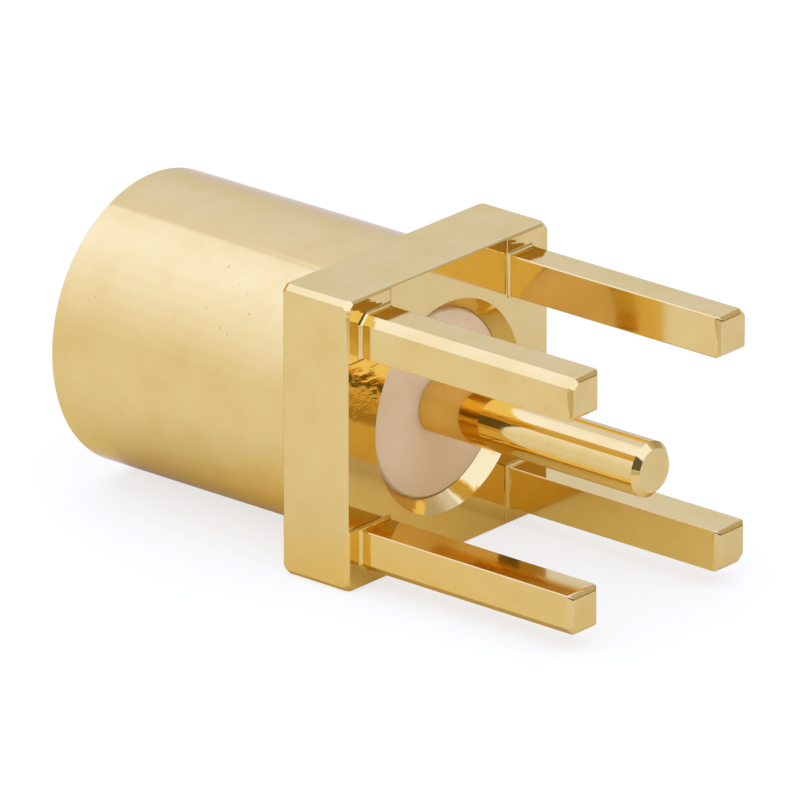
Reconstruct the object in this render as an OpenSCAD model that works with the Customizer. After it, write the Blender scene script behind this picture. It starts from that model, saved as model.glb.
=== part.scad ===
// Straight MCX jack for a printed board, lying on its side.
// The mating axis runs along X: the solder legs point to +X, the mating mouth to -X.
// The origin is the centre of the flange's board seat. All sizes are in millimetres.

/* [Flange] */
// Width across the flats of the square flange
flange_w = 6.9; // [6.5:0.05:7.6]
// Thickness of the flange
flange_t = 1.95; // [1.2:0.05:3]
// Width of the facet that the turned bar leaves on each flange corner
flange_corner = 0.12; // [0.04:0.02:0.3]
// Broken edge round the flange
edge_break = 0.07; // [0.02:0.01:0.1]

/* [Barrel] */
// Outside diameter of the barrel
barrel_d = 6.85; // [5.6:0.05:6.9]
// Length of the barrel in front of the flange
barrel_len = 6.9; // [6.2:0.05:9]
// Broken edge round the barrel's mouth
barrel_break = 0.05; // [0.02:0.01:0.1]

/* [Legs] */
// Distance between the centres of neighbouring legs
leg_pitch = 5.08; // [4.7:0.02:5.3]
// Width of a square leg
leg_w = 0.98; // [0.7:0.02:1.1]
// Length of the legs from the board seat
leg_len = 6.1; // [2.5:0.05:8]
// Width of the turned facet on each leg's outer edge
leg_corner = 0.2; // [0.06:0.02:0.4]
// Broken edge round the leg tips
tip_break = 0.1; // [0.04:0.01:0.15]
// Fillet where a leg meets the flange
root_r = 0.1; // [0.05:0.01:0.15]
// Depth of the milled channels below the board seat
seat_step = 0.02; // [0.01:0.01:0.05]

/* [Mating bore] */
// Bore that takes the plug's sprung outer contact
plug_bore_d = 3.5; // [3.3:0.02:3.7]
// Depth of the plug bore from the mating face
plug_bore_len = 4; // [3.4:0.05:4.6]
// Diameter of the lead-in cone at the mating face
mouth_d = 4.2; // [3.8:0.05:4.8]
// Depth of the lead-in cone
mouth_len = 0.4; // [0.2:0.05:0.6]
// Diameter at the bottom of the snap groove
groove_d = 3.84; // [3.56:0.02:4]
// Distance from the mating face to the snap groove
groove_pos = 0.95; // [0.8:0.05:1.6]
// Width of the snap groove at its bottom
groove_w = 0.4; // [0.2:0.05:0.8]

/* [Insulator seat] */
// Bore that holds the insulator's disc
seat_bore_d = 4.4; // [4.1:0.02:4.7]
// Diameter of the countersink at the board seat
rim_d = 5.02; // [4.76:0.02:5.4]
// Depth of the countersink, a little below the insulator's face
rim_depth = 0.38; // [0.1:0.01:0.6]
// Thickness of the inner web that stops the insulator
web_t = 0.8; // [0.5:0.05:1.2]

/* [Insulator] */
// Depth of the insulator's face below the board seat
face_depth = 0.34; // [0.3:0.02:1]
// Broken edge round the insulator's face
face_break = 0.05; // [0.02:0.01:0.2]
// Diameter of the insulator's nose
nose_d = 2.1; // [1.8:0.05:2.4]
// Distance from the mating face to the nose's end
nose_recess = 1; // [0.8:0.05:1.6]

/* [Center contact] */
// Diameter of the solder tail, whose shoulder seats on the insulator's face
tail_d = 1.3; // [1.2:0.02:1.4]
// Length of the solder tail from the board seat
tail_len = 5.95; // [2.5:0.05:8]
// Chamfer at the tail's tip
tail_chamfer = 0.14; // [0.05:0.01:0.25]
// Diameter of the stem inside the insulator
stem_d = 0.96; // [0.84:0.02:1.16]
// Diameter of the retaining collar
collar_d = 1.7; // [1.4:0.02:2]
// Length of the retaining collar
collar_len = 0.8; // [0.4:0.05:1.2]
// Distance from the insulator's face to the collar
collar_depth = 0.6; // [0.4:0.05:1]
// Outside diameter of the socket
socket_d = 0.96; // [0.84:0.02:1.08]
// Bore of the socket, for the plug's pin
pin_bore_d = 0.56; // [0.5:0.01:0.6]
// Depth of the socket's bore
pin_bore_len = 2; // [1.5:0.05:2.6]
// Lead-in chamfer at the socket's mouth
socket_lead = 0.08; // [0.04:0.01:0.12]
// Width of the slots that part the socket's tines
slot_w = 0.12; // [0.08:0.01:0.24]
// Length of the slots
slot_len = 1.7; // [1:0.05:2.2]
// Distance from the nose's end to the socket's end
socket_recess = 0.1; // [0.05:0.05:0.4]

/* [Fits] */
// Radial gap between the insulator and the body
insulator_gap = 0.01; // [0.005:0.005:0.03]
// Radial gap between the contact and the insulator
contact_gap = 0.01; // [0.005:0.005:0.03]
// Radial room round the socket for its tines to spread
tine_room = 0.06; // [0.04:0.01:0.12]

/* [Hidden] */
$fn = 96;

// How far a cut runs past the face that it opens
past = 0.5;
// Length of an outline extruded across the whole part
across_len = 2 * flange_w;

// Stations along the axis, with the board seat at zero
mating_z = -flange_t - barrel_len;
join_z = -flange_t / 2;
web_front_z = mating_z + plug_bore_len;
web_rear_z = web_front_z + web_t;
nose_z = mating_z + nose_recess;
socket_z = nose_z + socket_recess;
face_z = -face_depth;
collar_rear_z = face_z - collar_depth;
collar_front_z = collar_rear_z - collar_len;
groove_front_z = mating_z + groove_pos;

// Width over the four legs, and of the channels between them
legs_w = leg_pitch + leg_w;
channel_w = leg_pitch - leg_w;

// Radius of the turned surface that takes a facet of a given width off the corners of a square
function corner_r(w, facet) = sqrt(pow(w / 2, 2) + pow(w / 2 - facet, 2));

// Radial depth of the snap groove, which is also the run of each of its 45 degree flanks
groove_flank = (groove_d - plug_bore_d) / 2;
// Radius of the hole in the web that the nose passes through
web_hole_r = nose_d / 2 + insulator_gap;

// Outline of half width r from low to high, with its four corners broken by brk
module broken_outline(r, low, high, brk) {
    polygon([[-r + brk, low], [r - brk, low], [r, low + brk], [r, high - brk],
             [r - brk, high], [-r + brk, high], [-r, high - brk], [-r, low + brk]]);
}

// Outline of the leg block of half width r: broken at the tip, filleted at the seat
module leg_outline(r) {
    difference() {
        union() {
            broken_outline(r, join_z, leg_len, tip_break);
            translate([-r - root_r, -root_r])
                square([2 * (r + root_r), 2 * root_r]);
        }
        for (side = [-1, 1])
            translate([side * (r + root_r), root_r])
                circle(root_r);
    }
}

// Outline of the milled channel: filleted at its floor, opened by a broken edge at the tips
module channel_outline() {
    r = channel_w / 2;
    difference() {
        union() {
            translate([-r, -seat_step])
                square([channel_w, leg_len + seat_step + past]);
            polygon([[-r, leg_len - tip_break], [-r - tip_break - past, leg_len + past],
                     [r + tip_break + past, leg_len + past], [r, leg_len - tip_break]]);
        }
        for (side = [-1, 1])
            difference() {
                translate([side * (r - root_r / 2), root_r / 2 - seat_step])
                    square(root_r, center = true);
                translate([side * (r - root_r), root_r - seat_step])
                    circle(root_r);
            }
    }
}

// Extrude an outline across the axis, turned about it
module across(turn) {
    rotate([90, 0, turn])
        linear_extrude(across_len, center = true)
            children();
}

// Turn the right half of an outline about the axis
module turned() {
    rotate_extrude()
        intersection() {
            children();
            translate([0, -flange_t - past])
                square([flange_w, flange_t + leg_len + 2 * past]);
        }
}

// Square flange with broken edges, and the bar's turned surface left on its corners
module flange() {
    r = flange_w / 2;
    intersection() {
        across(0)
            broken_outline(r, -flange_t, 0, edge_break);
        across(90)
            broken_outline(r, -flange_t, 0, edge_break);
        turned()
            broken_outline(corner_r(flange_w, flange_corner), -flange_t, 0, edge_break);
    }
}

// Solid block that the legs are milled from, turned at its corners
module leg_block() {
    intersection() {
        across(0)
            leg_outline(legs_w / 2);
        across(90)
            leg_outline(legs_w / 2);
        turned()
            leg_outline(corner_r(legs_w, leg_corner));
    }
}

// Barrel, running a little way into the flange
module barrel() {
    r = barrel_d / 2;
    rotate_extrude()
        polygon([[0, mating_z], [r - barrel_break, mating_z], [r, mating_z + barrel_break],
                 [r, join_z], [0, join_z]]);
}

// Stepped bore right through the body, as turned from both ends
module body_bore() {
    rotate_extrude()
        polygon([[0, mating_z - past],
                 [mouth_d / 2, mating_z - past],
                 [mouth_d / 2, mating_z],
                 [plug_bore_d / 2, mating_z + mouth_len],
                 [plug_bore_d / 2, groove_front_z],
                 [groove_d / 2, groove_front_z + groove_flank],
                 [groove_d / 2, groove_front_z + groove_flank + groove_w],
                 [plug_bore_d / 2, groove_front_z + 2 * groove_flank + groove_w],
                 [plug_bore_d / 2, web_front_z],
                 [web_hole_r, web_front_z],
                 [web_hole_r, web_rear_z],
                 [seat_bore_d / 2, web_rear_z],
                 [seat_bore_d / 2, -rim_depth],
                 [rim_d / 2, 0],
                 [rim_d / 2, past],
                 [0, past]]);
}

// One-piece gold-plated body: barrel, flange and the four legs left by two crossing channels
module body() {
    color([0.86, 0.72, 0.42])
        rotate([0, 90, 0])
            difference() {
                union() {
                    flange();
                    barrel();
                    leg_block();
                }
                across(0)
                    channel_outline();
                across(90)
                    channel_outline();
                body_bore();
            }
}

// White bush: disc seated on the web, nose reaching into the mating bore
module insulator() {
    disc_r = seat_bore_d / 2 - insulator_gap;
    stem_r = stem_d / 2 + contact_gap;
    collar_r = collar_d / 2 + contact_gap;
    color([0.93, 0.9, 0.87])
        rotate([0, 90, 0])
            rotate_extrude()
                polygon([[stem_r, face_z],
                         [disc_r - face_break, face_z],
                         [disc_r, face_z - face_break],
                         [disc_r, web_rear_z],
                         [nose_d / 2, web_rear_z],
                         [nose_d / 2, nose_z],
                         [socket_d / 2 + tine_room, nose_z],
                         [socket_d / 2 + tine_room, socket_z + slot_len],
                         [socket_d / 2 + contact_gap, socket_z + slot_len],
                         [socket_d / 2 + contact_gap, collar_front_z],
                         [collar_r, collar_front_z],
                         [collar_r, collar_rear_z],
                         [stem_r, collar_rear_z]]);
}

// Contact: slotted socket, collar caught in the insulator, and the solder tail
module center_contact() {
    color([0.86, 0.72, 0.42])
        rotate([0, 90, 0])
            difference() {
                rotate_extrude()
                    polygon([[0, socket_z + pin_bore_len],
                             [pin_bore_d / 2, socket_z + pin_bore_len],
                             [pin_bore_d / 2, socket_z + socket_lead],
                             [pin_bore_d / 2 + socket_lead, socket_z],
                             [socket_d / 2, socket_z],
                             [socket_d / 2, collar_front_z],
                             [collar_d / 2, collar_front_z],
                             [collar_d / 2, collar_rear_z],
                             [stem_d / 2, collar_rear_z],
                             [stem_d / 2, face_z],
                             [tail_d / 2, face_z],
                             [tail_d / 2, tail_len - tail_chamfer],
                             [tail_d / 2 - tail_chamfer, tail_len],
                             [0, tail_len]]);
                for (turn = [0, 90])
                    rotate([0, 0, turn])
                        translate([-socket_d, -slot_w / 2, socket_z - past])
                            cube([2 * socket_d, slot_w, slot_len + past]);
            }
}

body();
insulator();
center_contact();
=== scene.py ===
"""Looks of the board-mount coaxial jack: finely rounded edges, gold plating, PTFE, soft studio light.

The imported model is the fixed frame. Each of its three pieces is dressed: a copy of its mesh gets a finer
turned surface and softly rounded edges, stands for the node and takes a procedural material. The flange's
corners are cut off as well. Lengths are in mm unless a comment says otherwise.
"""

import itertools
import math

import bmesh
import bpy
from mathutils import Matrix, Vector


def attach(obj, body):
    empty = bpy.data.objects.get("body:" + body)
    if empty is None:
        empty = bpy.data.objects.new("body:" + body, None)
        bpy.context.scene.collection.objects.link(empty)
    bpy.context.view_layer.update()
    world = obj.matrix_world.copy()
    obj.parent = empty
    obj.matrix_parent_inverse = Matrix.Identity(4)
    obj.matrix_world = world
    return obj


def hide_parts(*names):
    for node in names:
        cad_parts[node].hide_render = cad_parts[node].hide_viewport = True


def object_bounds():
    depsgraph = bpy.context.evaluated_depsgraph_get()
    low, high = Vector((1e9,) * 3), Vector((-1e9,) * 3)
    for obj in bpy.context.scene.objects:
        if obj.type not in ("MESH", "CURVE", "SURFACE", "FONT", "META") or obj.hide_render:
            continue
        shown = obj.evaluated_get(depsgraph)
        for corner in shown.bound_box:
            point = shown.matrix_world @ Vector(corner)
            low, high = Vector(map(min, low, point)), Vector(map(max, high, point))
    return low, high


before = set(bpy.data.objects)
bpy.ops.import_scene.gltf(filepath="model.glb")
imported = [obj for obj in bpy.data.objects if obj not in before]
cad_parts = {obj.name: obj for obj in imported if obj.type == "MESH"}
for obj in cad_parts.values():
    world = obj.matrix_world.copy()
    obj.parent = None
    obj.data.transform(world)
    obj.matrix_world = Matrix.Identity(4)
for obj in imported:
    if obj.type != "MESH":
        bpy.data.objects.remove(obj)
cad_low, cad_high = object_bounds()

# Millimetres to Blender's metres
MM = 0.001
# Joint between the barrel and the flange's front face, along X
BARREL_END = -1.95
# Half width of the square flange
FLANGE_HALF = 3.45


# Helpers for node trees

def put(tree, kind, inputs=None, **settings):
    """Add a node; each input is a value or the output that feeds it."""
    node = tree.nodes.new(kind)
    for name, value in settings.items():
        setattr(node, name, value)
    for key, value in (inputs or {}).items():
        if isinstance(value, bpy.types.NodeSocket):
            tree.links.new(value, node.inputs[key])
        else:
            node.inputs[key].default_value = value
    return node


def feed(tree, shader, name, value):
    tree.links.new(value, shader.inputs[name])


def math_node(tree, operation, first, second=0.0, third=0.0):
    inputs = {0: first, 1: second, 2: third}
    return put(tree, "ShaderNodeMath", inputs, operation=operation).outputs[0]


def times(tree, first, second):
    return math_node(tree, "MULTIPLY", first, second)


def vector_node(tree, operation, first, second=(0, 0, 0)):
    return put(tree, "ShaderNodeVectorMath", {0: first, 1: second}, operation=operation)


def split(tree, vector):
    """X, Y and Z of a vector."""
    return put(tree, "ShaderNodeSeparateXYZ", {0: vector}).outputs


def rise(tree, value, low, high, to_low=0.0, to_high=1.0):
    """Ease from to_low to to_high while value goes from low to high."""
    inputs = {"Value": value, "From Min": low, "From Max": high, "To Min": to_low, "To Max": to_high}
    return put(tree, "ShaderNodeMapRange", inputs, interpolation_type="SMOOTHSTEP").outputs[0]


def fall(tree, value, low, high):
    """Ease from 1 to 0 while value goes from low to high."""
    return rise(tree, value, low, high, 1.0, 0.0)


def within(tree, value, low, high, ease):
    """1 between low and high, 0 outside, eased on both sides."""
    return times(tree, rise(tree, value, low - ease, low), fall(tree, value, high, high + ease))


def noise(tree, vector, scale, detail, roughness):
    inputs = {"Vector": vector, "Scale": scale, "Detail": detail, "Roughness": roughness}
    return put(tree, "ShaderNodeTexNoise", inputs).outputs["Fac"]


def line_noise(tree, value, scale, detail):
    """Noise that changes along one value only."""
    inputs = {"W": times(tree, value, scale), "Scale": 1.0, "Detail": detail}
    return put(tree, "ShaderNodeTexNoise", inputs, noise_dimensions="1D").outputs["Fac"]


def bump(tree, height, strength=1.0):
    """Normal of a surface whose height is given in mm."""
    return put(tree, "ShaderNodeBump", {"Strength": strength, "Distance": MM, "Height": height}).outputs[0]


def blend(tree, factor, first, second, mode="MIX"):
    """Mix two colours."""
    inputs = {0: factor, 6: first, 7: second}
    return put(tree, "ShaderNodeMix", inputs, data_type="RGBA", blend_type=mode).outputs[2]


def ramp(tree, factor, stops):
    """Colour ramp from a list of (position, colour)."""
    node = put(tree, "ShaderNodeValToRGB", {0: factor})
    elements = node.color_ramp.elements
    while len(elements) < len(stops):
        elements.new(0.5)
    for element, (position, colour) in zip(elements, stops):
        element.position = position
        element.color = (*colour, 1)
    return node.outputs["Color"]


# Camera

# Direction from the part in degrees, distance, and focal length in pixels of an 800 pixel frame
CAMERA_AZIMUTH = 40.62
CAMERA_ELEVATION = 21.27
CAMERA_DISTANCE = 336.95
FOCAL_PIXELS = 15120.6
FRAME_PIXELS = 800
SENSOR_WIDTH = 36
# Nearest distance that the camera sees
CLIP_START = 20
# How far the board seat's centre lies right of and above the middle of the frame
OFFSET_RIGHT = 1.092
OFFSET_UP = -0.151


def camera_axes():
    """Unit vectors towards the camera, to its right and up."""
    azimuth = math.radians(CAMERA_AZIMUTH)
    elevation = math.radians(CAMERA_ELEVATION)
    level = math.cos(elevation)
    back = Vector((math.sin(azimuth) * level, -math.cos(azimuth) * level, math.sin(elevation)))
    right = Vector((math.cos(azimuth), math.sin(azimuth), 0))
    return back, right, back.cross(right)


def make_camera():
    back, right, up = camera_axes()
    data = bpy.data.cameras.new("camera")
    data.sensor_width = SENSOR_WIDTH
    data.lens = FOCAL_PIXELS * SENSOR_WIDTH / FRAME_PIXELS
    data.clip_start = CLIP_START * MM
    camera = bpy.data.objects.new("camera", data)
    camera.location = (back * CAMERA_DISTANCE - right * OFFSET_RIGHT - up * OFFSET_UP) * MM
    camera.rotation_mode = "QUATERNION"
    camera.rotation_quaternion = (-back).to_track_quat("-Z", "Y")
    bpy.context.scene.collection.objects.link(camera)
    bpy.context.scene.camera = camera


# Studio: pale floor and a sky of soft panels

# Brightest value of the sky's colours, which are given as shares of it
SKY_STRENGTH = 2.5
# Colours of the sweep on the left, by angle in degrees round the mating axis from the horizon at -Y
LEFT_SWEEP = [
    (-180, (0.34, 0.35, 0.38)),
    (-20, (0.38, 0.38, 0.38)),
    (0, (0.40, 0.416, 0.437)),
    (22, (0.45, 0.48, 0.62)),
    (45, (0.49, 0.56, 0.83)),
    (66, (0.525, 0.62, 1.03)),
    (84, (0.525, 0.62, 1.03)),
    (102.5, (0.50, 0.585, 0.95)),
    (104, (0.409, 0.455, 0.66)),
    (150, (0.376, 0.446, 0.782)),
    (180, (0.34, 0.406, 0.67)),
]
# Range of X on the unit sphere where the sweep gives way to the right side
RIGHT_SIDE = (0.22, 0.34)
# Right side: a dark room below and a bright panel overhead, with its edge at this height on the unit sphere
ROOM_COLOUR = (0.07, 0.065, 0.06, 1)
PANEL_COLOUR = (0.53, 0.64, 1.05, 1)
PANEL_EDGE = (0.53, 0.58)
# Beyond the part, past these ranges of Y and X on the unit sphere, the room is dark below and bright above
BEYOND_Y = (0.5, 0.56)
BEYOND_X = (-0.5, 0.3)
BEYOND_SWEEP = [
    (0.0, (0.15, 0.12, 0.06)),
    (0.35, (0.20, 0.175, 0.12)),
    (0.60, (0.27, 0.26, 0.235)),
    (0.72, (0.36, 0.40, 0.60)),
]
# Cool tint of all that shows up mirrored in the gold
MIRROR_TINT = (0.82, 0.85, 1.24, 1)
# Matt surfaces see the same panels without colour, mixed with an even light
EVEN_COLOUR = (0.31, 0.31, 0.31, 1)
EVEN_SHARE = 0.65
# Colour that the camera itself sees behind the floor's far edge
BACKDROP_COLOUR = (0.95, 0.95, 0.95, 1)

FLOOR_RADIUS = 600
FLOOR_SIDES = 96
FLOOR_ROUGHNESS = 0.9
# Floor as it is seen: its own colour and its glow
FLOOR_SEEN = (0.29, 0.295, 0.264, 1)
FLOOR_SEEN_GLOW = (0.71, 0.71, 0.71, 1)
# Floor as the gold mirrors it: a painted reflection colour, dimmer and cooler than the floor as seen, and
# the share of it that glows
FLOOR_PAINTED_REFLECTION = (0.652, 0.676, 0.83, 1)
MIRRORED_GLOW_SHARE = (0.18, 0.18, 0.18, 1)
# Painted warm light that the gold throws on the floor, only in the colour the gold mirrors, and where it
# fades, from the spot below the seat's centre
FLOOR_PAINTED_BOUNCE = (0.737, 0.70, 0.56, 1)
PAINTED_BOUNCE_REACH = (2.5, 8.5)
# Painted shade on the mirrored floor far ahead of the part, beyond the barrel and beyond the legs:
# direction, reach and the darker colour
FLOOR_SHADE_ZONES = [
    ((0.80, -0.60, 0), (16.5, 18.5), (0.50, 0.46, 0.38, 1)),
    ((-0.65, 0.76, 0), (9, 13), (0.60, 0.625, 0.65, 1)),
    ((0.65, 0.76, 0), (4, 9), (0.60, 0.645, 0.92, 1)),
]


def sky_panels(tree):
    """Colour of the sky that polished metal sees, by direction."""
    x, y, z = split(tree, put(tree, "ShaderNodeTexCoord").outputs["Generated"])
    angle = math_node(tree, "ARCTAN2", z, times(tree, y, -1.0))
    share = math_node(tree, "MULTIPLY_ADD", angle, 0.5 / math.pi, 0.5)
    left = ramp(tree, share, [((degrees + 180) / 360, colour) for degrees, colour in LEFT_SWEEP])
    right = blend(tree, rise(tree, z, *PANEL_EDGE), ROOM_COLOUR, PANEL_COLOUR)
    sides = blend(tree, rise(tree, x, *RIGHT_SIDE), left, right)
    beyond = times(tree, rise(tree, y, *BEYOND_Y), rise(tree, x, *BEYOND_X))
    return blend(tree, beyond, sides, ramp(tree, z, BEYOND_SWEEP))


def make_sky():
    world = bpy.data.worlds.new("studio")
    bpy.context.scene.world = world
    world.use_nodes = True
    tree = world.node_tree
    tree.nodes.clear()
    panels = sky_panels(tree)
    grey = put(tree, "ShaderNodeHueSaturation", {"Saturation": 0.0, "Color": panels}).outputs[0]
    plain = blend(tree, EVEN_SHARE, grey, EVEN_COLOUR)
    tinted = blend(tree, 1.0, panels, MIRROR_TINT, "MULTIPLY")
    path = put(tree, "ShaderNodeLightPath")
    lit = blend(tree, path.outputs["Is Diffuse Ray"], tinted, plain)
    studio = put(tree, "ShaderNodeBackground", {"Color": lit, "Strength": SKY_STRENGTH})
    backdrop = put(tree, "ShaderNodeBackground", {"Color": BACKDROP_COLOUR, "Strength": 1.0})
    inputs = {0: path.outputs["Is Camera Ray"], 1: studio.outputs[0], 2: backdrop.outputs[0]}
    seen = put(tree, "ShaderNodeMixShader", inputs)
    put(tree, "ShaderNodeOutputWorld", {"Surface": seen.outputs[0]})


def floor_white():
    """White floor; where the gold mirrors it, it shows a painted reflection in dimmer, cooler colours, with
    painted shade and painted warm light that depend on the place.
    """
    material = bpy.data.materials.new("floor_white")
    material.use_nodes = True
    tree = material.node_tree
    shader = tree.nodes["Principled BSDF"]
    shader.inputs["Emission Strength"].default_value = 1.0
    shader.inputs["Roughness"].default_value = FLOOR_ROUGHNESS
    shader.inputs["Specular IOR Level"].default_value = 0.0
    place = put(tree, "ShaderNodeTexCoord").outputs["Object"]
    distance = vector_node(tree, "LENGTH", place).outputs["Value"]
    # Painted warm bounce light near the part, only in the colour the gold mirrors
    near = fall(tree, distance, PAINTED_BOUNCE_REACH[0] * MM, PAINTED_BOUNCE_REACH[1] * MM)
    lit = blend(tree, near, FLOOR_PAINTED_REFLECTION, FLOOR_PAINTED_BOUNCE)
    # Painted shade: the floor the gold mirrors turns darker in these zones
    for direction, reach, colour in FLOOR_SHADE_ZONES:
        along = vector_node(tree, "DOT_PRODUCT", place, direction).outputs["Value"]
        lit = blend(tree, rise(tree, along, reach[0] * MM, reach[1] * MM), lit, colour)
    glow = blend(tree, 1.0, lit, MIRRORED_GLOW_SHARE, "MULTIPLY")
    # Glossy rays see the painted reflection colour, the camera sees the white floor
    mirrored = put(tree, "ShaderNodeLightPath").outputs["Is Glossy Ray"]
    feed(tree, shader, "Base Color", blend(tree, mirrored, FLOOR_SEEN, lit))
    feed(tree, shader, "Emission Color", blend(tree, mirrored, FLOOR_SEEN_GLOW, glow))
    return material


def make_floor():
    bm = bmesh.new()
    bmesh.ops.create_circle(bm, cap_ends=True, segments=FLOOR_SIDES, radius=FLOOR_RADIUS * MM)
    data = bpy.data.meshes.new("floor")
    bm.to_mesh(data)
    bm.free()
    data.materials.append(floor_white())
    floor = bpy.data.objects.new("floor", data)
    floor.location.z = cad_low.z
    bpy.context.scene.collection.objects.link(floor)


# Materials; each noise is given by its scale per mm, its detail and its roughness

# Middle value of a noise
NOISE_MEAN = 0.5

GOLD = (0.88, 0.61, 0.165, 1)
# Tint of the gold where it is seen at a grazing angle
GOLD_GRAZING = (0.95, 0.80, 0.50, 1)
# Mottling: deeper and paler gold by the value of one noise, which also lifts the surface a little
GOLD_DEEP = (0.86, 0.582, 0.149, 1)
GOLD_PALE = (0.895, 0.632, 0.181, 1)
MOTTLE_NOISE = (1.1, 3.0, 0.55)
MOTTLE_DEEP = (0.3, 0.5)
MOTTLE_PALE = (0.5, 0.72)
MOTTLE_HEIGHT = 0.0015
# Rubbed gold on the rounded edges, in broken stretches
GOLD_WORN = (0.89, 0.635, 0.19, 1)
WEAR_NOISE = (6.0, 3.0, 0.5)
WEAR_EDGE = (0.35, 0.6)
# Pits of the barrel gather round one spot: its place, how far it spreads, how rare pits are in and off it
PIT_COLOUR = (0.60, 0.43, 0.16, 1)
PIT_PATCH = (-4.2, -2.7, 2.1)
PIT_SPREAD = (1.1, 1.7)
PIT_RARITY = (0.3, 0.93)
PIT_SCALE = 3.2
PIT_EDGE = (0.06, 0.11)
PIT_DEPTH = 0.003
# Fine grain varies the roughness between these shares of it
GRAIN_NOISE = (16.0, 4.0, 0.6)
GRAIN_RANGE = (0.3, 0.7)
GRAIN_SHARES = (0.75, 1.25)
BODY_ROUGHNESS = 0.085
CONTACT_ROUGHNESS = 0.07
# Turning marks of the barrel: scale and detail along X, depth, and how they ease out at the barrel's end
TURNING_NOISE = (55.0, 2.0)
TURNING_DEPTH = 0.0004
TURNING_EASE = 0.02
# Scuffs on the board seat: a patch left of the PTFE and a strip above the upper legs' roots.
# The seat, the patch and the strip's height are ranges with the ease at both ends
SCUFF_SEAT = (-0.05, 0.1, 0.05)
SCUFF_LEFT_Y = (-3.2, -2.5, 0.15)
SCUFF_LEFT_Z = (0.9, 1.6, 0.4)
SCUFF_TOP_Z = (3.08, 3.27, 0.1)
SCUFF_LEGS_Y = (1.6, 2.1)
SCUFF_NOISE = (2.6, 2.0, 0.55)
SCUFF_STRETCH = (1.0, 0.6, 1.6)
SCUFF_HEIGHT = 0.016

# PTFE's white, tinted by painted warm bounce light from the gold, and a warmer colour for its clouds and
# for more painted bounce light towards the floor
PTFE_BOUNCE_TINTED = (0.91, 0.69, 0.41, 1)
PTFE_CLOUD_AND_BOUNCE = (0.88, 0.625, 0.34, 1)
# PTFE is warmer in its clouds, its own tone, and towards the floor, where warm bounce light from the gold
# is painted
CLOUD_NOISE = (1.6, 4.0, 0.6)
CLOUD_WARM = (0.35, 0.7)
PAINTED_BOUNCE_HEIGHTS = (-1.8, 0.2)
CLOUD_RANGE = (0.3, 0.7)
PTFE_ROUGHNESS = (0.42, 0.55)
PTFE_SPECULAR = 0.35
# Light that goes into the PTFE: its share, its spread by colour and its depth
DEPTH_SHARE = 0.35
DEPTH_SPREAD = (1.0, 0.8, 0.65)
DEPTH = 0.35
# Lathe's rings on the face of the PTFE: scale and detail by radius, height and strength
RING_NOISE = (22.0, 1.0)
RING_HEIGHT = 0.004
RING_STRENGTH = 0.6


def new_material(name):
    """Make a plain material; returns it with its node tree, its shader and the place on the part in mm."""
    material = bpy.data.materials.new(name)
    material.use_nodes = True
    tree = material.node_tree
    shader = tree.nodes["Principled BSDF"]
    place = put(tree, "ShaderNodeTexCoord").outputs["Object"]
    scaled = put(tree, "ShaderNodeVectorMath", {0: place, "Scale": 1 / MM}, operation="SCALE")
    return material, tree, shader, scaled.outputs[0]


def scuffs(tree, place):
    """Uneven marks of handling on the board seat."""
    x, y, z = split(tree, place)
    left = times(tree, within(tree, y, *SCUFF_LEFT_Y), within(tree, z, *SCUFF_LEFT_Z))
    at_legs = rise(tree, math_node(tree, "ABSOLUTE", y), *SCUFF_LEGS_Y)
    top = times(tree, within(tree, z, *SCUFF_TOP_Z), at_legs)
    mask = times(tree, within(tree, x, *SCUFF_SEAT), math_node(tree, "MAXIMUM", left, top))
    strokes = vector_node(tree, "MULTIPLY", place, SCUFF_STRETCH).outputs[0]
    uneven = math_node(tree, "SUBTRACT", noise(tree, strokes, *SCUFF_NOISE), NOISE_MEAN)
    return times(tree, mask, uneven)


def pits(tree, place):
    """Few small round pits, mostly in one patch."""
    cells = put(tree, "ShaderNodeTexVoronoi", {"Vector": place, "Scale": PIT_SCALE, "Randomness": 1.0})
    spot = fall(tree, cells.outputs["Distance"], *PIT_EDGE)
    chance = split(tree, cells.outputs["Color"])[0]
    off_patch = vector_node(tree, "DISTANCE", place, PIT_PATCH).outputs["Value"]
    rare = math_node(tree, "GREATER_THAN", chance, rise(tree, off_patch, *PIT_SPREAD, *PIT_RARITY))
    return times(tree, spot, rare)


def gold_plating(name, roughness, line_depth):
    """Bright gold plating: soft mottling, rubbed edges, tiny pits, scuffs and the lathe's marks."""
    material, tree, shader, place = new_material(name)
    shader.inputs["Metallic"].default_value = 1.0
    shader.inputs["Specular Tint"].default_value = GOLD_GRAZING
    mottle = noise(tree, place, *MOTTLE_NOISE)
    colour = blend(tree, fall(tree, mottle, *MOTTLE_DEEP), GOLD, GOLD_DEEP)
    colour = blend(tree, rise(tree, mottle, *MOTTLE_PALE), colour, GOLD_PALE)
    rubbed = put(tree, "ShaderNodeAttribute", attribute_name="rim").outputs["Fac"]
    broken = rise(tree, noise(tree, place, *WEAR_NOISE), *WEAR_EDGE)
    colour = blend(tree, times(tree, rubbed, broken), colour, GOLD_WORN)
    along = split(tree, place)[0]
    turned = fall(tree, along, BARREL_END - TURNING_EASE, BARREL_END)
    pit = times(tree, pits(tree, place), turned)
    feed(tree, shader, "Base Color", blend(tree, pit, colour, PIT_COLOUR))
    grain = noise(tree, place, *GRAIN_NOISE)
    smoother, rougher = (roughness * share for share in GRAIN_SHARES)
    feed(tree, shader, "Roughness", rise(tree, grain, *GRAIN_RANGE, smoother, rougher))
    marks = times(tree, line_noise(tree, along, *TURNING_NOISE), turned)
    height = math_node(tree, "MULTIPLY_ADD", marks, line_depth, times(tree, mottle, MOTTLE_HEIGHT))
    height = math_node(tree, "MULTIPLY_ADD", pit, -PIT_DEPTH, height)
    height = math_node(tree, "MULTIPLY_ADD", scuffs(tree, place), SCUFF_HEIGHT, height)
    feed(tree, shader, "Normal", bump(tree, height))
    return material


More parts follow.
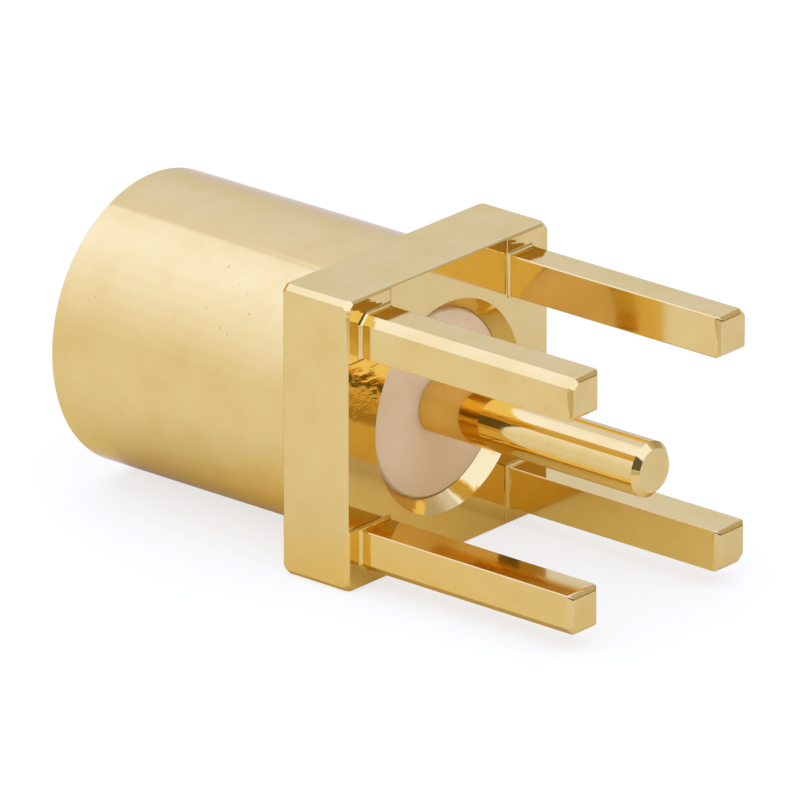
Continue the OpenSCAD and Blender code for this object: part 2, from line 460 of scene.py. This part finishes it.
def ptfe():
    """White PTFE: waxy, faintly clouded, with the lathe's rings on its face; its colour carries painted
    warm bounce light from the gold, most towards the floor.
    """
    material, tree, shader, place = new_material("ptfe_white")
    shader.inputs["Subsurface Weight"].default_value = DEPTH_SHARE
    shader.inputs["Subsurface Radius"].default_value = DEPTH_SPREAD
    shader.inputs["Subsurface Scale"].default_value = DEPTH * MM
    shader.inputs["Specular IOR Level"].default_value = PTFE_SPECULAR
    y, z = split(tree, place)[1:]
    cloud = noise(tree, place, *CLOUD_NOISE)
    # Clouds are the PTFE's own tone; the warming towards the floor is painted bounce light
    warm = math_node(tree, "MAXIMUM", rise(tree, cloud, *CLOUD_WARM), fall(tree, z, *PAINTED_BOUNCE_HEIGHTS))
    feed(tree, shader, "Base Color", blend(tree, warm, PTFE_BOUNCE_TINTED, PTFE_CLOUD_AND_BOUNCE))
    feed(tree, shader, "Roughness", rise(tree, cloud, *CLOUD_RANGE, *PTFE_ROUGHNESS))
    flat = put(tree, "ShaderNodeCombineXYZ", {1: y, 2: z}).outputs[0]
    radius = vector_node(tree, "LENGTH", flat).outputs["Value"]
    rings = line_noise(tree, radius, *RING_NOISE)
    feed(tree, shader, "Normal", bump(tree, times(tree, rings, RING_HEIGHT), RING_STRENGTH))
    return material


# Dressed pieces

# Edge rounding: size, number of strips and the profile value of a round edge
ROUNDING = 0.03
ROUNDING_SEGMENTS = 3
ROUND_PROFILE = 0.5
# How deep the flange's eight corners are cut off before the rounding
CORNER_CUT = 0.15
# A face narrower than this takes no rounding at its edges
NARROWEST_FACE = 0.06
# Round zones whose edges stay crisp, as ranges along X and of radius
COUNTERSINK_RIM = (-0.05, 0.05, 2.5, 2.52)
BARREL_ROOT = (-2.0, -1.88, 3.42, 3.43)
# Square zones that stay crisp, as ranges along X and of distance from the axis: borders of the flange
CRISP_BORDERS = [(-0.03, 0.01, 3.36, 3.41), (-1.96, -1.94, 3.36, 3.41)]
# Edges whose two sides turn by more than this are real edges, in degrees
EDGE_ANGLE = 14
# Neighbouring faces that turn by less than this are one flat face, in degrees
FLAT_ANGLE = 0.2
# Chords of turned surfaces up to this many degrees are cut into shorter ones, on rings above this radius
CHORD_ANGLE = 16
CHORD_CUTS = 3
SMALLEST_RING = 0.2
# The barrel's root runs up and down the flange's broken edge: how far its chords may run along X
ROOT_SLANT = 0.05
# Places and radii that differ by less than this are the same
SAME = 1e-3
# Points of the CAD mesh nearer than this are joined
JOINED = 1e-4
# Points nearer than this to a cutting plane lie on it
ON_PLANE = 1e-5
# Edges shorter than this are taken out after the rounding
TINY = 0.0005


def mark_edges(bm, normals):
    """Mark as sharp each edge where the CAD normals turn; the edge of a mere facet stays smooth."""
    limit = math.radians(EDGE_ANGLE)
    for edge in bm.edges:
        turn = 0.0
        if len(edge.link_loops) == 2:
            one, other = edge.link_loops
            pairs = [(one, other.link_loop_next), (one.link_loop_next, other)]
            turn = max(a[normals].angle(b[normals], 0.0) for a, b in pairs)
        edge.smooth = turn < limit


def on_ring(vert, low, high, inner, outer):
    return low < vert.co.x < high and inner < vert.co.yz.length < outer


def on_border(vert, low, high, inner, outer):
    return low < vert.co.x < high and inner < max(abs(vert.co.y), abs(vert.co.z)) < outer


def slant(vert):
    """How far other points of the same ring may lie along X."""
    return ROOT_SLANT if on_ring(vert, *BARREL_ROOT) else SAME


def link_across(vert):
    """Split each long face that has this new point, up to the nearest point at the face's far end."""
    def closeness(other):
        return vert.co.yz.normalized().dot(other.co.yz.normalized())

    for loop in list(vert.link_loops):
        beside = {loop.link_loop_next.vert, loop.link_loop_prev.vert}
        across = [other for other in loop.face.verts if abs(other.co.x - vert.co.x) > slant(vert)]
        if across and beside.isdisjoint(across):
            bmesh.utils.face_split(loop.face, vert, max(across, key=closeness))


def refine_turned(bm):
    """Cut the chords of the turned surfaces into shorter ones and set the new points on their circle."""
    radius = bm.verts.layers.float.new("turn_radius")
    for vert in bm.verts:
        vert[radius] = math.hypot(vert.co.y, vert.co.z)

    def is_chord(edge):
        a, b = edge.verts
        level = abs(a.co.x - b.co.x) <= slant(a) and abs(a[radius] - b[radius]) <= SAME
        short = edge.calc_length() < a[radius] * math.radians(CHORD_ANGLE)
        return level and short and a[radius] >= SMALLEST_RING

    chords = [edge for edge in bm.edges if is_chord(edge)]
    before = set(bm.verts)
    bmesh.ops.subdivide_edges(bm, edges=chords, cuts=CHORD_CUTS, use_grid_fill=True, use_only_quads=True)
    added = [vert for vert in bm.verts if vert not in before]
    for vert in added:
        share = vert[radius] / math.hypot(vert.co.y, vert.co.z)
        vert.co.y *= share
        vert.co.z *= share
    for vert in added:
        link_across(vert)


def break_corners(bm, normals):
    """Cut off the flange's eight corners; the barrel and the legs are left as they are."""
    def on_flange(face):
        return all(BARREL_END - SAME < vert.co.x < SAME for vert in face.verts)

    for side in itertools.product((-1, 1), repeat=3):
        outward = Vector(side).normalized()
        corner = Vector((0 if side[0] > 0 else BARREL_END, side[1] * FLANGE_HALF, side[2] * FLANGE_HALF))
        faces = [face for face in bm.faces if on_flange(face)]
        # Kept in the mesh's own order, so that each run gives the same cut
        edges = dict.fromkeys(edge for face in faces for edge in face.edges)
        verts = dict.fromkeys(vert for face in faces for vert in face.verts)
        cut = bmesh.ops.bisect_plane(bm, geom=[*faces, *edges, *verts], dist=ON_PLANE, clear_outer=True,
                                     plane_co=corner - outward * CORNER_CUT, plane_no=outward)
        outline = [item for item in cut["geom_cut"] if isinstance(item, bmesh.types.BMEdge)]
        for face in bmesh.ops.contextual_create(bm, geom=outline)["faces"]:
            face.normal_update()
            if face.normal.dot(outward) < 0:
                face.normal_flip()
            for loop in face.loops:
                loop[normals] = outward


def round_edges(bm):
    """Round the marked edges and mark the new strips in the rim layer."""
    rim = bm.loops.layers.float.new("rim")
    zones = [(on_ring, COUNTERSINK_RIM), (on_ring, BARREL_ROOT)]
    zones += [(on_border, border) for border in CRISP_BORDERS]

    def width(face):
        return 2 * face.calc_area() / face.calc_perimeter()

    def is_crisp(edge):
        return any(all(lies_on(vert, *zone) for vert in edge.verts) for lies_on, zone in zones)

    def is_rounded(edge):
        narrowest = min(width(face) for face in edge.link_faces)
        return not edge.smooth and narrowest > NARROWEST_FACE and not is_crisp(edge)

    edges = [edge for edge in bm.edges if is_rounded(edge)]
    made = bmesh.ops.bevel(bm, geom=edges, offset=ROUNDING, offset_type="OFFSET", affect="EDGES",
                           segments=ROUNDING_SEGMENTS, profile=ROUND_PROFILE, clamp_overlap=False,
                           loop_slide=True)
    for face in made["faces"]:
        for loop in face.loops:
            loop[rim] = 1.0


def keep_in_box(bm):
    """Pull back the few rounded points that lie a hair past the CAD box."""
    low, high = cad_low / MM, cad_high / MM
    for vert in bm.verts:
        vert.co = [min(max(value, least), most) for value, least, most in zip(vert.co, low, high)]


def dressed_mesh(node, name):
    """Copy of a CAD node's mesh with finer turned surfaces and rounded edges."""
    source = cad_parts[node].data
    bm = bmesh.new()
    bm.from_mesh(source)
    normals = bm.loops.layers.float_vector.new("cad_normal")
    for face in bm.faces:
        for loop in face.loops:
            loop[normals] = source.corner_normals[loop.index].vector
    bmesh.ops.scale(bm, vec=(1 / MM,) * 3, verts=bm.verts)
    bmesh.ops.remove_doubles(bm, verts=bm.verts, dist=JOINED)
    if node == "body":
        break_corners(bm, normals)
    mark_edges(bm, normals)
    bmesh.ops.dissolve_limit(bm, angle_limit=math.radians(FLAT_ANGLE), verts=bm.verts, edges=bm.edges,
                             delimit={"SHARP"})
    refine_turned(bm)
    round_edges(bm)
    bmesh.ops.dissolve_degenerate(bm, dist=TINY, edges=bm.edges)
    keep_in_box(bm)
    for face in bm.faces:
        face.smooth = True
    bmesh.ops.scale(bm, vec=(MM,) * 3, verts=bm.verts)
    data = bpy.data.meshes.new(name)
    bm.to_mesh(data)
    bm.free()
    return data


def dress(node, name, material):
    """Make the dressed piece that stands for a CAD node."""
    data = dressed_mesh(node, name)
    data.materials.append(material)
    piece = bpy.data.objects.new(name, data)
    bpy.context.scene.collection.objects.link(piece)
    normal = piece.modifiers.new("flat_faces_stay_flat", "WEIGHTED_NORMAL")
    normal.keep_sharp = True
    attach(piece, "root")
    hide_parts(node)


make_camera()
make_sky()
make_floor()
bpy.context.scene.view_settings.view_transform = "Standard"

body_gold = gold_plating("gold_body", BODY_ROUGHNESS, TURNING_DEPTH)
dress("body", "jack_body", body_gold)
contact_gold = gold_plating("gold_contact", CONTACT_ROUGHNESS, 0.0)
dress("center_contact", "jack_contact", contact_gold)
dress("insulator", "jack_insulator", ptfe())
